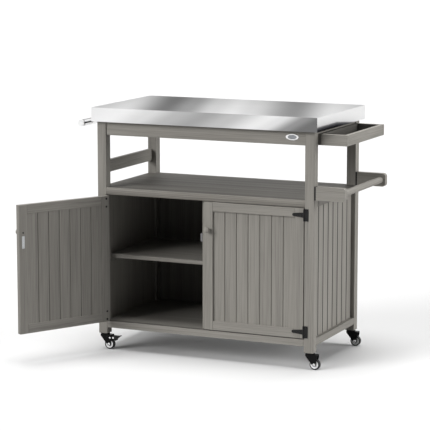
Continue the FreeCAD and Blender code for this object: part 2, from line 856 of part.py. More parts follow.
def caster_pedal(name, place):
    """A lever on a cross pin: its toe sticks out past the fork, and its belly is pressed on
    the wheel."""
    pedal = new_body(f"{name}_pedal", place)
    top = pedal_pin_height + pedal_depth
    toe_x = pedal_pin_back + pedal_length
    lobe_bottom = wheel_radius + cheek_boss * 2
    lever = [
        (pedal_pin_back - pedal_depth, top),
        (toe_x - pedal_depth * 2, top),
        (toe_x, top + pedal_depth / 2),
        (toe_x + pedal_depth / 3, top),
        (toe_x - pedal_depth, top - pedal_depth),
        (toe_x - pedal_depth * 3, pedal_pin_height - pedal_depth * 1.5),
        (toe_x - pedal_depth * 3.5, lobe_bottom),
        (toe_x - pedal_depth * 5, lobe_bottom),
        (toe_x - pedal_depth * 6, lobe_bottom + pedal_depth * 0.8),
        (cheek_back, wheel_radius * 2 + shoe_gap * 1.3),
        (trail + pedal_depth * 1.3, wheel_radius * 2 + shoe_gap * 1.6),
        (trail, wheel_radius * 2 + shoe_gap),
        (pedal_pin_back - pedal_depth, pedal_pin_height - pedal_depth),
    ]
    pad(pedal, outline(pedal, "XZ_Plane", [lever]), pedal_width, middle=True)
    rod(pedal, (pedal_pin_back, 0 - fork_half, pedal_pin_height), pedal_pin_radius, fork_half * 2, "y")


heads = []
leg_middle_x = inner_x + leg_side / 2
leg_middle_y = inner_y + leg_side / 2
for row, y_side in (("front", FRONT), ("rear", REAR)):
    for column, x_side in (("left", LEFT), ("right", RIGHT)):
        name = f"caster_{row}_{column}"
        place = (leg_middle_x * x_side, leg_middle_y * y_side, 0)
        heads.append(caster_head(f"{name}_head", place))
        caster_fork(name, place, x_side == LEFT)
        caster_wheel(name, place)
        if x_side == LEFT:
            caster_pedal(name, place)
group("caster_heads", heads)

doc.recompute()

# Every feature has to have worked, and every piece has to be a valid solid, before export
broken = [thing.Name for thing in doc.Objects if "Invalid" in thing.State or "Error" in thing.State]
if broken:
    raise RuntimeError(f"features that failed: {broken}")
for node in nodes:
    if node.Shape.isNull() or not node.Shape.isValid() or not node.Shape.Solids:
        raise RuntimeError(f"{node.Label} is not a valid solid")

os.makedirs("parts", exist_ok=True)
for node in nodes:
    node.Shape.exportStep(f"parts/{node.Label}.step")
print(f"{len(nodes)} nodes, {sum(len(node.Shape.Solids) for node in nodes)} solids")
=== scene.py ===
import math

import bmesh
import bpy
from mathutils import Matrix, Vector


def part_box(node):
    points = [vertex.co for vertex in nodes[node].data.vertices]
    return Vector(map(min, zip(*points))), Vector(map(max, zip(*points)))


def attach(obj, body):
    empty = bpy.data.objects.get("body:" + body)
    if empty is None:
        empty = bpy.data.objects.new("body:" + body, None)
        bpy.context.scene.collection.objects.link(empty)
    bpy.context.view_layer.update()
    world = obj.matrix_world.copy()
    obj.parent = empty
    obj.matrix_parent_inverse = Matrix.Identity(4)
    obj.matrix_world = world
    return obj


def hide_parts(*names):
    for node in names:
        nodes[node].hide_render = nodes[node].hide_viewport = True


# A grill cart of stained fir boards with a folded steel worktop, two doors, a spice rack, a
# towel rail, a push bar and four casters. Metres, +X right, +Y back, +Z up, floor at zero.
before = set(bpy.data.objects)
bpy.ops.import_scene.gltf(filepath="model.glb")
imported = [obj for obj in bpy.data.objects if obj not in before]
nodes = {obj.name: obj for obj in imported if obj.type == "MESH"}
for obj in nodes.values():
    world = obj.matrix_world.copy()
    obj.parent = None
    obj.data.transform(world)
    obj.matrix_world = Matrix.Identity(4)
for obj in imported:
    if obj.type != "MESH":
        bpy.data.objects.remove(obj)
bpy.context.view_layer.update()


# Legs, posts and stiles: square fir posts with the grain upright, planed, stained warm grey and
# sealed with a matt oil. The stain settles in the softer early wood, so the grain shows as fine
# darker lines, 2 to 3 mm apart, and each board takes the stain a little differently.
def srgb(code):
    """A colour written as sRGB hex, as the linear RGBA that the shaders need."""
    parts = [int(code[i : i + 2], 16) / 255 for i in (1, 3, 5)]
    linear = [c / 12.92 if c <= 0.04045 else ((c + 0.055) / 1.055) ** 2.4 for c in parts]
    return (*linear, 1.0)


def new_material(name):
    material = bpy.data.materials.new(name)
    material.use_nodes = True
    material.node_tree.nodes.clear()
    return material


def add(owner, kind, inputs):
    """Adds a shader node. A key in small letters is a setting of the node itself. Any other is
    one of its inputs, which takes a value or another node's output."""
    tree = owner.node_tree
    node = tree.nodes.new(kind)
    for key, value in inputs.items():
        if isinstance(key, str) and key[0].islower():
            setattr(node, key, value)
        elif isinstance(value, bpy.types.NodeSocket):
            tree.links.new(value, node.inputs[key])
        else:
            node.inputs[key].default_value = value
    return node


def maths(owner, operation, *values):
    inputs = {"operation": operation, **dict(enumerate(values))}
    return add(owner, "ShaderNodeMath", inputs).outputs[0]


def ranged(owner, value, low, high, start=0.0, end=1.0):
    """A value between start and end, spread from low to high and kept between them."""
    inputs = {"Value": value, "From Min": start, "From Max": end, "To Min": low, "To Max": high}
    return add(owner, "ShaderNodeMapRange", inputs).outputs[0]


def mixed(owner, share, first, second):
    """A number between two others, by its share of the second."""
    inputs = {"data_type": "FLOAT", 0: share, 2: first, 3: second}
    return add(owner, "ShaderNodeMix", inputs).outputs[0]


def mixed_colours(owner, share, first, second):
    inputs = {"data_type": "RGBA", 0: share, 6: first, 7: second}
    return add(owner, "ShaderNodeMix", inputs).outputs[2]


def scaled(owner, colour, share):
    """A colour made darker or lighter."""
    inputs = {"operation": "SCALE", 0: colour, "Scale": share}
    return add(owner, "ShaderNodeVectorMath", inputs).outputs[0]


def ramped(owner, value, stops, interpolation="LINEAR"):
    """A ramp through colours, given as pairs of a position and an sRGB hex."""
    node = add(owner, "ShaderNodeValToRGB", {"Fac": value})
    ramp = node.color_ramp
    ramp.interpolation = interpolation
    for element, (position, code) in zip(ramp.elements, (stops[0], stops[-1])):
        element.position = position
        element.color = srgb(code)
    for position, code in stops[1:-1]:
        ramp.elements.new(position).color = srgb(code)
    return node.outputs[0]


def noise(owner, place, scale, detail):
    inputs = {"Vector": place, "Scale": scale, "Detail": detail}
    return add(owner, "ShaderNodeTexNoise", inputs).outputs["Fac"]


def raised(owner, height, strength, distance):
    inputs = {"Height": height, "Strength": strength, "Distance": distance}
    return add(owner, "ShaderNodeBump", inputs).outputs[0]


def principled(material, inputs):
    """Ends a material with its surface."""
    surface = add(material, "ShaderNodeBsdfPrincipled", inputs).outputs[0]
    add(material, "ShaderNodeOutputMaterial", {"Surface": surface})
    return material


FIR_LIGHT = "#93908A"
FIR_MIDDLE = "#8A8781"
FIR_DARK = "#787570"
FIR_DEEP = "#605D58"
FIBRE_ACROSS = 0.0022
FIBRE_ALONG = 0.16
FIBRE_SEED = 3.1
FIGURE_ACROSS = 0.016
FIGURE_ALONG = 0.5
FIGURE_SEED = 7.7
FIGURE_SHARE = 0.4
BROAD_ACROSS = 0.045
BROAD_ALONG = 1.5
BROAD_SHARE = 0.7
RING_SPACING = 0.0055
RING_WANDER = 5.0
RING_SHARPNESS = 2.5
RING_SHARE = 0.22
BOARD_SCALE = 3.5
BOARD_SPREAD = 0.03
PLANK_SPREAD = 0.5
WOOD_SHEEN = (0.58, 0.7)
WOOD_RELIEF = (0.2, 0.0004)
SKIN = 0.0005


def stained_fir(
    name, along, planks=None, hinge=None, angle=0.0, shade_and_stain=1.0, inside=None, broad=False
):
    """along is the grain's axis, 0 to 2. planks gives the axis, start, width, joint and joint
    darkness of the planks in a panel; on the side panels that darkness is painted shade in the
    grooves, over stain that pooled there. A turned door gives its hinge and angle, for its own
    closed frame. A shade_and_stain under 1 paints the whole board darker; on most boards that use
    it, that is painted shade where they stand in shade. inside gives an axis, the distance from
    the middle up to which the board has another shade_and_stain, and that as a share; there it has
    no joints. It is used for painted shade on the covered sides of some boards, and for painted
    light on the side panels' inner faces. A broad board is sawn through the middle of the log,
    with wide dark figures."""
    material = new_material(name)
    place = add(material, "ShaderNodeTexCoord", {}).outputs["Object"]
    if hinge:
        back = Matrix.Rotation(-angle, 3, "Z") @ Vector((hinge[0], hinge[1], 0))
        inputs = {"Vector": place, "Location": -back, "Rotation": (0, 0, -angle)}
        place = add(material, "ShaderNodeMapping", inputs).outputs[0]
    axes = add(material, "ShaderNodeSeparateXYZ", {"Vector": place}).outputs
    if planks:
        axis, start, width, joint, joint_darkness = planks
        counted = maths(material, "DIVIDE", maths(material, "SUBTRACT", axes[axis], start), width)
        plank = maths(material, "FLOOR", counted)

    def stretched(across, length, detail, roughness, seed):
        scale = [1 / across] * 3
        scale[along] = 1 / length
        inputs = {"Vector": place, "Scale": scale, "Location": (seed, seed * 2, seed * 3)}
        mapped = add(material, "ShaderNodeMapping", inputs).outputs[0]
        inputs = {"noise_dimensions": "4D", "Vector": mapped, "Scale": 1.0}
        inputs.update({"Detail": detail, "Roughness": roughness})
        if planks:
            inputs["W"] = plank
        return add(material, "ShaderNodeTexNoise", inputs).outputs["Fac"]

    fibre = stretched(FIBRE_ACROSS, FIBRE_ALONG, 3.0, 0.6, FIBRE_SEED)
    sizes = (BROAD_ACROSS, BROAD_ALONG) if broad else (FIGURE_ACROSS, FIGURE_ALONG)
    figure = stretched(*sizes, 2.0, 0.5, FIGURE_SEED)
    across = maths(material, "ADD", axes[(along + 1) % 3], axes[(along + 2) % 3])
    wander = maths(material, "MULTIPLY", figure, RING_WANDER)
    rings = maths(material, "ADD", maths(material, "DIVIDE", across, RING_SPACING), wander)
    wave = maths(material, "SINE", maths(material, "MULTIPLY", rings, math.tau))
    half_wave = maths(material, "MULTIPLY", maths(material, "ADD", wave, 1.0), 0.5)
    late = maths(material, "POWER", half_wave, RING_SHARPNESS)
    lines = mixed(material, RING_SHARE, fibre, late)
    together = mixed(material, BROAD_SHARE if broad else FIGURE_SHARE, lines, figure)
    darkest = FIR_DEEP if broad else FIR_DARK
    stain = ramped(material, together, ((0.3, FIR_LIGHT), (0.46, FIR_MIDDLE), (0.66, darkest)))

    board = noise(material, place, BOARD_SCALE, 0.0)
    if planks:
        inputs = {"noise_dimensions": "1D", "W": plank}
        dice = add(material, "ShaderNodeTexWhiteNoise", inputs).outputs["Value"]
        board = mixed(material, PLANK_SPREAD, board, dice)
    # shade_and_stain mostly paints shade: boards that stand in shade are made darker.
    lowest, highest = shade_and_stain * (1 - BOARD_SPREAD), shade_and_stain * (1 + BOARD_SPREAD)
    tone = ranged(material, board, lowest, highest, 0.2, 0.8)
    # inside paints shade on the covered sides of some boards, and light on the side panels' inner
    # faces.
    if inside:
        axis, limit, share = inside
        within = maths(material, "LESS_THAN", maths(material, "ABSOLUTE", axes[axis]), limit)
        tone = maths(material, "MULTIPLY", tone, mixed(material, within, 1.0, share))
    # The joint darkening is pooled stain, and on the side panels also painted shade in the
    # grooves.
    if planks:
        edge = maths(material, "PINGPONG", counted, 0.5)
        half = joint / 2 / width
        joint_stain_and_shade = ranged(material, edge, joint_darkness, 1.0, half * 0.7, half * 1.3)
        if inside:
            joint_stain_and_shade = maths(material, "MAXIMUM", joint_stain_and_shade, within)
        tone = maths(material, "MULTIPLY", tone, joint_stain_and_shade)
    inputs = {
        "Base Color": scaled(material, stain, tone),
        "Roughness": ranged(material, fibre, *WOOD_SHEEN, 0.3, 0.7),
        "Normal": raised(material, fibre, *WOOD_RELIEF),
        "IOR": 1.46,
        "Specular IOR Level": 0.2,
    }
    return principled(material, inputs)


def finish_nodes(material, *names):
    """Gives CAD nodes their finish, in each of their own material slots."""
    for name in names:
        mesh = nodes[name].data
        if not mesh.materials:
            mesh.materials.append(material)
        for number in range(len(mesh.materials)):
            mesh.materials[number] = material


fir_upright = stained_fir("fir, stained grey, grain upright", 2)
# Painted shade: the rear left leg, at the back under the worktop, is painted darker than the other
# legs.
fir_rear_leg_shaded = stained_fir("fir of the rear left leg, with painted shade", 2, shade_and_stain=0.91)
finish_nodes(fir_upright, "leg_front_left", "leg_front_right", "leg_rear_right", "door_post")
finish_nodes(fir_rear_leg_shaded, "leg_rear_left")

# Aprons, rails and shelves: fir boards butted between the legs, with the grain along their length,
# of the same stain. The open shelf is one broad board; its top is painted darker, as painted shade
# under the worktop. The inner shelf and the cabinet floor are painted darker, as painted shade
# inside the cabinet. The tops of the front and rear floor rails are painted dark, as painted shade
# in the gap under the doors and inside the cabinet.
fir_sideways = stained_fir("fir, stained grey, grain left to right", 0)
fir_endways = stained_fir("fir, stained grey, grain front to back", 1)
# Painted shade: the shelf's top is painted darker, as under the worktop.
shelf_shaded_top = (1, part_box("open_shelf")[1].y - SKIN, 0.54)
fir_shelf = stained_fir(
    "fir shelf board, top with painted shade", 0, shade_and_stain=1.22, inside=shelf_shaded_top, broad=True
)
# Painted shade: the inner shelf and the cabinet floor are painted darker, as inside the cabinet.
fir_inner_shelf = stained_fir("fir of the inner shelf, with painted shade", 0, shade_and_stain=0.84)
fir_floor = stained_fir("fir floor board, with painted shade", 0, shade_and_stain=0.7)
# Painted shade: the floor rails' tops are painted dark; their other faces keep about the plain
# stain.
sill_sides_under_shaded_top = (2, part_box("floor_rail_front")[1].z - SKIN, 2.6)
fir_sill = stained_fir(
    "fir of the floor rails, front and back", 0, shade_and_stain=0.4, inside=sill_sides_under_shaded_top
)
fir_low_ends = stained_fir("fir of the floor rails at the sides", 1, shade_and_stain=0.9)
finish_nodes(fir_sideways, "apron_front", "apron_rear")
finish_nodes(fir_sill, "floor_rail_front", "floor_rail_rear")
finish_nodes(fir_low_ends, "floor_rails_side")
finish_nodes(fir_shelf, "open_shelf")
finish_nodes(fir_inner_shelf, "inner_shelf")
finish_nodes(fir_floor, "cabinet_floor")
finish_nodes(fir_endways, "apron_left", "apron_right", "left_mid_rail", "shelf_cleats")

# Side panels and back: eight fir planks to a side with grooves between them, plain on the inner
# face. The grooves, and the panels' ends beside the legs, are painted near black: painted shade in
# the grooves, over stain that pooled there. The inner faces are painted a little lighter, as
# painted light. The back is one thin board of the same fir, with painted shade on its inner face.
SIDE_PLANKS = 8
SIDE_JOINT = 0.0065
# Painted shade in the grooves and beside the legs, over pooled stain: the joints are painted near
# black.
SIDE_GROOVE_SHADE_AND_STAIN = 0.12
side_low, side_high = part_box("side_panel_right")
side_plank = (side_high.y - side_low.y) / SIDE_PLANKS
side_joints = (1, side_low.y, side_plank, SIDE_JOINT, SIDE_GROOVE_SHADE_AND_STAIN)
# Painted light: the side panels' inner faces are painted lighter.
side_painted_light_inner = (0, side_low.x + SKIN, 1.15)
fir_side_planks = stained_fir(
    "fir planks of the sides", 2, side_joints, shade_and_stain=1.02, inside=side_painted_light_inner
)
finish_nodes(fir_side_planks, "side_panel_left", "side_panel_right")
# Painted shade: the back's inner face is painted darker.
back_shaded_inner = (1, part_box("back_panel")[1].y - SKIN, 0.55)
fir_back = stained_fir("thin fir board of the back, painted shade inside", 2, shade_and_stain=0.9, inside=back_shaded_inner)
finish_nodes(fir_back, "back_panel")

# Doors: a frame of two stiles and two rails round seven grooved planks, 46 mm wide, all of fir.
# The left door stands open, so its grain is worked out in its own closed frame. Its boards are
# painted a little darker, as painted shade on the open door, which is turned away from the light.
DOOR_PLANKS = 7
DOOR_JOINT = 0.0022
RIGHT_STAIN = 0.85
LEFT_STAIN = 0.93
# Painted shade: the open left door is painted darker than the closed one.
LEFT_DOOR_SHADE = 0.86
HINGE_X = 0.399
HINGE_Y = -0.236
OPEN_ANGLE = math.radians(-119)
DOORS = (("left_door", -1, OPEN_ANGLE), ("right_door", 1, 0.0))
STILE = 0.035
DOOR_EDGE = 0.0015
PLANKS_WIDE = 0.325
door_plank = PLANKS_WIDE / DOOR_PLANKS
right_start = HINGE_X - DOOR_EDGE - STILE - PLANKS_WIDE
right_joints = (0, right_start, door_plank, DOOR_JOINT, RIGHT_STAIN)
fir_right_planks = stained_fir("fir planks of the right door", 2, right_joints)
left_start = DOOR_EDGE + STILE
left_joints = (0, left_start, door_plank, DOOR_JOINT, LEFT_STAIN)
left_turn = ((-HINGE_X, HINGE_Y), OPEN_ANGLE, LEFT_DOOR_SHADE)
fir_left_planks = stained_fir("fir planks of the left door", 2, left_joints, *left_turn)
fir_left_rails = stained_fir("fir rails of the left door", 0, None, *left_turn)
fir_left_stiles = stained_fir("fir stiles of the left door", 2, None, *left_turn)
finish_nodes(fir_left_stiles, "left_door_stiles")
finish_nodes(fir_upright, "right_door_stiles")
finish_nodes(fir_sideways, "right_door_rails")
finish_nodes(fir_left_rails, "left_door_rails")
finish_nodes(fir_right_planks, "right_door_panel")
finish_nodes(fir_left_planks, "left_door_panel")


# Knobs: turned fir on a round neck, one on the outside of each door, held by a screw from
# behind. The face is slightly domed and the rim is rounded over.
SHARP_FROM = math.radians(32)


def turned(profile, steps):
    """A mesh turned round Z from (radius, height) pairs. A radius of zero closes the end."""
    shape = bmesh.new()
    rings = []
    for radius, height in profile:
        if radius == 0:
            rings.append([shape.verts.new((0, 0, height))])
            continue
        ring = []
        for step in range(steps):
            turn = math.tau * step / steps
            point = (radius * math.cos(turn), radius * math.sin(turn), height)
            ring.append(shape.verts.new(point))
        rings.append(ring)
    for lower, upper in zip(rings, rings[1:]):
        for step in range(steps):
            after = (step + 1) % steps
            corners = [lower[step % len(lower)], lower[after % len(lower)]]
            corners += [upper[after % len(upper)], upper[step % len(upper)]]
            shape.faces.new(list(dict.fromkeys(corners)))
    bmesh.ops.recalc_face_normals(shape, faces=shape.faces)
    return shape


def arc(middle, radius, start, end, steps):
    """Points of an arc in a profile, from one angle to the other, in degrees."""
    points = []
    for step in range(steps + 1):
        turn = math.radians(start + (end - start) * step / steps)
        points.append((middle[0] + radius * math.cos(turn), middle[1] + radius * math.sin(turn)))
    return points


def place_piece(name, shape, material, body, stand=None):
    """Makes a piece of a mesh, and lets it ride on a body. stand sets it in the frame."""
    if stand:
        shape.transform(stand)
    mesh = bpy.data.meshes.new(name)
    shape.to_mesh(mesh)
    shape.free()
    mesh.polygons.foreach_set("use_smooth", [True] * len(mesh.polygons))
    mesh.set_sharp_from_angle(angle=SHARP_FROM)
    piece = bpy.data.objects.new(name, mesh)
    bpy.context.scene.collection.objects.link(piece)
    mesh.materials.append(material)
    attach(piece, body)
    return piece


def moved(x, y, z):
    return Matrix.Translation((x, y, z))


def hinge_line(side, spin):
    """Where a door's hinge pins stand, turned as the door is."""
    return moved(HINGE_X * side, HINGE_Y, 0) @ Matrix.Rotation(spin, 4, "Z")


KNOB_FOOT = 0.003
KNOB_FRONT = 0.022
KNOB_RADIUS = 0.0105
KNOB_NECK = 0.0055
KNOB_LEVEL = 0.4915
KNOB_REACH = 0.379
knob_profile = [(KNOB_NECK, 0), (KNOB_NECK, 0.007)]
knob_profile += [(0.0066, 0.0093), (0.0086, 0.0108)]
knob_profile += arc((KNOB_RADIUS - 0.003, 0.0145), 0.003, -50, 0, 4)
knob_profile += arc((KNOB_RADIUS - 0.004, KNOB_FRONT - 0.005), 0.004, 0, 76, 6)
knob_profile += [(0.004, KNOB_FRONT - 0.0003), (0, KNOB_FRONT)]
outward = Matrix.Rotation(math.radians(90), 4, "X")
inward = Matrix.Rotation(math.radians(-90), 4, "X")
for name, side, spin in DOORS:
    stand = hinge_line(side, spin) @ moved(-side * KNOB_REACH, KNOB_FOOT, KNOB_LEVEL) @ outward
    shape = turned(knob_profile, 48)
    knob = place_piece(f"{name}_turned_knob", shape, fir_upright, name, stand)
    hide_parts(f"{name}_knob")


# Hinges: stamped steel T-straps with a rolled barrel, powder coated black, and screwed on
# with black pan-head screws. The powder melts into a fine orange peel with a dull shine.
COAT_DARK = "#0C0C0C"
COAT_LIGHT = "#161616"
PEEL_SCALE = 900.0
PEEL_RELIEF = (0.3, 0.0002)
SCREW_STEPS = 24


def black_powder_coat(name, shine, level=0.3):
    """shine is its roughness, and level how strongly it mirrors."""
    material = new_material(name)
    place = add(material, "ShaderNodeTexCoord", {}).outputs["Object"]
    peel = noise(material, place, PEEL_SCALE, 2.0)
    inputs = {
        "Base Color": ramped(material, peel, ((0.0, COAT_DARK), (1.0, COAT_LIGHT))),
        "Normal": raised(material, peel, *PEEL_RELIEF),
        "IOR": 1.5,
        "Roughness": shine,
        "Specular IOR Level": level,
    }
    return principled(material, inputs)


def screw_head(radius, height):
    """A pan head with a cross recess, seated at zero, with its top towards Z."""
    shape = bmesh.new()
    rings = []
    for share, level in ((1.0, 0), (1.0, 0.35), (0.92, 0.72), (0.72, 1.0)):
        ring = []
        for step in range(SCREW_STEPS):
            turn = math.tau * (step + 1) / SCREW_STEPS
            x, y = radius * share * math.cos(turn), radius * share * math.sin(turn)
            ring.append(shape.verts.new((x, y, height * level)))
        rings.append(ring)
    for lower, upper in zip(rings, rings[1:]):
        for step in range(SCREW_STEPS):
            after = (step + 1) % SCREW_STEPS
            shape.faces.new((lower[step], lower[after], upper[after], upper[step]))
    arm = radius * 0.5
    slot = radius * 0.12
    corners = [(arm, slot), (slot, slot), (slot, arm)]
    for _ in range(3):
        corners += [(-y, x) for x, y in corners[-3:]]
    rim = [shape.verts.new((x, y, height)) for x, y in corners]
    foot = [shape.verts.new((x * 0.8, y * 0.8, height * 0.4)) for x, y in corners]
    top = rings[-1]
    for step in range(len(corners)):
        after = (step + 1) % len(corners)
        near, middle, far = top[step * 2], top[step * 2 + 1], top[(step * 2 + 2) % SCREW_STEPS]
        shape.faces.new((near, middle, rim[step]))
        shape.faces.new((middle, far, rim[after]))
        shape.faces.new((middle, rim[after], rim[step]))
        shape.faces.new((rim[step], rim[after], foot[after], foot[step]))
    shape.faces.new(foot)
    shape.faces.new(list(reversed(rings[0])))
    bmesh.ops.recalc_face_normals(shape, faces=shape.faces)
    return shape


def gathered(shapes):
    """One mesh of several: each is given with the matrix that sets it in its place."""
    whole = bmesh.new()
    for shape, stand in shapes:
        shape.transform(stand)
        mesh = bpy.data.meshes.new("gathered")
        shape.to_mesh(mesh)
        shape.free()
        whole.from_mesh(mesh)
        bpy.data.meshes.remove(mesh)
    return whole


HINGE_LEVELS = (0.1395, 0.5695)
PLATE_FACE = 0.001
DOOR_BACK = 0.021
STRAP_REACHES = (0.012, 0.025, 0.038)
BACK_REACH = 0.014
LEAF_REACH = 0.0085
SCREW_RISES = (-0.015, 0.015)
HINGE_SCREW = (0.0026, 0.0014)
BACK_SCREW = (0.004, 0.0014)
KNOB_SCREW = (0.0032, 0.0014)
black_coat = black_powder_coat("black powder coated steel", 0.42)
finish_nodes(black_coat, "hinge_leaves", "left_door_straps", "right_door_straps")
leaf_screws = []
for name, side, spin in DOORS:
    hinge = hinge_line(side, spin)
    strap_screws = []
    for level in HINGE_LEVELS:
        for reach in STRAP_REACHES:
            stand = hinge @ moved(-side * reach, PLATE_FACE, level) @ outward
            strap_screws.append((screw_head(*HINGE_SCREW), stand))
        for rise in SCREW_RISES:
            stand = hinge @ moved(-side * BACK_REACH, DOOR_BACK, level + rise) @ inward
            strap_screws.append((screw_head(*BACK_SCREW), stand))
            stand = moved((HINGE_X + LEAF_REACH) * side, HINGE_Y + PLATE_FACE, level + rise)
            leaf_screws.append((screw_head(*HINGE_SCREW), stand @ outward))
    stand = hinge @ moved(-side * KNOB_REACH, DOOR_BACK, KNOB_LEVEL) @ inward
    strap_screws.append((screw_head(*KNOB_SCREW), stand))
    place_piece(f"{name}_screws", gathered(strap_screws), black_coat, name)
place_piece("leg_hinge_screws", gathered(leaf_screws), black_coat, "cart")


# Strike plates and magnetic catches: zinc-plated sheet on the doors' inner faces, and grey
# moulded catches on the post. The zinc has a fine mottled spangle, the plastic a satin skin.
def mottled(name, dark, light, scale, metallic, roughness):
    """A fine cloud between two shades, that also varies the roughness."""
    material = new_material(name)
    place = add(material, "ShaderNodeTexCoord", {}).outputs["Object"]
    cloud = noise(material, place, scale, 3.0)
    inputs = {
        "Base Color": ramped(material, cloud, ((0.3, dark), (0.7, light))),
        "Metallic": metallic,
        "Roughness": ranged(material, cloud, roughness - 0.06, roughness + 0.06),
    }
    return principled(material, inputs)


CATCH_LEVEL = 0.456
CATCH_SIDE = 0.0205
CATCH_Y = -0.203
CATCH_RISES = (-0.0095, 0.0095)
CATCH_SCREW = (0.0024, 0.001)
STRIKE_REACH = 0.379
STRIKE_FACE = 0.022
STRIKE_RISES = (-0.0165, 0.0165)
STRIKE_SCREW = (0.0022, 0.0004)
zinc = mottled("zinc-plated steel", "#A4A6A8", "#BEC0C2", 700.0, 1.0, 0.3)
catch_plastic = mottled("grey moulded ABS", "#6A696B", "#767577", 500.0, 0.0, 0.45)
finish_nodes(zinc, "left_door_strike", "right_door_strike")
finish_nodes(catch_plastic, "magnetic_catches")
catch_screws = []
for name, side, spin in DOORS:
    hinge = hinge_line(side, spin)
    strike_screws = []
    for rise in STRIKE_RISES:
        stand = hinge @ moved(-side * STRIKE_REACH, STRIKE_FACE, CATCH_LEVEL + rise) @ inward
        strike_screws.append((screw_head(*STRIKE_SCREW), stand))
    place_piece(f"{name}_strike_screws", gathered(strike_screws), zinc, name)
    sideways = Matrix.Rotation(math.radians(90 * side), 4, "Y")
    for rise in CATCH_RISES:
        stand = moved(CATCH_SIDE * side, CATCH_Y, CATCH_LEVEL + rise) @ sideways
        catch_screws.append((screw_head(*CATCH_SCREW), stand))
place_piece("catch_screws", gathered(catch_screws), zinc, "cart")

# Screws of the back: the thin board is held all round by small zinc-plated pan heads, 12 mm in
# from its edges, five along it and four up it.
BACK_MARGIN = 0.012
BACK_ACROSS = 5
BACK_UP = 4
PANEL_SCREW = (0.0035, 0.0018)
back_low, back_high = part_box("back_panel")
back_wide = back_high.x - back_low.x - BACK_MARGIN * 2
back_tall = back_high.z - back_low.z - BACK_MARGIN * 2
back_screws = []
for column in range(BACK_ACROSS):
    for row in range(BACK_UP):
        if 0 < column < BACK_ACROSS - 1 and 0 < row < BACK_UP - 1:
            continue
        across = back_low.x + BACK_MARGIN + back_wide * column / (BACK_ACROSS - 1)
        up = back_low.z + BACK_MARGIN + back_tall * row / (BACK_UP - 1)
        back_screws.append((screw_head(*PANEL_SCREW), moved(across, back_high.y, up) @ inward))
place_piece("back_panel_screws", gathered(back_screws), zinc, "cart")

# Worktop: a board wrapped in 1 mm stainless sheet, folded down on four sides and brushed along its
# length. The brushing is fine scratches 0.4 mm apart. Broad soft bands across the sheet, light and
# dark in turn, are painted reflections in its colour; the top's bands fade towards the back, and
# the side skirts are painted dark along their feet, as painted shade.
# Painted reflections on the top: broad light and dark bands in the steel's colour.
TOP_PAINTED_REFLECTIONS = (
    (-0.52, "#D4D4D4"),
    (-0.4, "#E4E4E4"),
    (-0.24, "#989898"),
    (-0.15, "#B8B8B8"),
    (-0.05, "#E2E2E2"),
    (0.03, "#EFEFEF"),
    (0.1, "#E6E6E6"),
    (0.27, "#B0B0B0"),
    (0.42, "#EDEDED"),
    (0.52, "#E2E2E2"),
)
TOP_SLANT = 0.34
TOP_REFLECTION_FRONT = 1.04
TOP_REFLECTION_BACK = 0.9
# Painted reflections on the front skirt.
FRONT_PAINTED_REFLECTIONS = (
    (-0.53, "#E8E8E8"),
    (-0.4, "#EDEDED"),
    (-0.28, "#D8D8D8"),
    (-0.17, "#B6B6B6"),
    (-0.06, "#A4A4A4"),
    (0.05, "#BEBEBE"),
    (0.19, "#E9E9E9"),
    (0.24, "#DEDEDE"),
    (0.32, "#929292"),
    (0.38, "#727272"),
)
FRONT_SLANT = -1.8
# Painted shade along the feet of the side skirts, under a painted reflection.
SIDE_SKIRT_PAINTED_LIGHT = (
    (0.0, "#424244"),
    (0.005, "#505054"),
    (0.01, "#6C6C70"),
    (0.015, "#909092"),
    (0.021, "#EAEAEA"),
    (0.053, "#EFEFEF"),
)
SKIRT_RISE = 0.1
SKIRT_LEVEL_TO = -0.05
SKIRT_FOOT = 0.872
HALF_DEPTH = 0.25
SCRATCH_ACROSS = 0.0004
SCRATCH_ALONG = 0.12
SCRATCH_SHADES = (0.93, 1.05)
SCRATCH_RELIEF = (0.1, 0.0002)


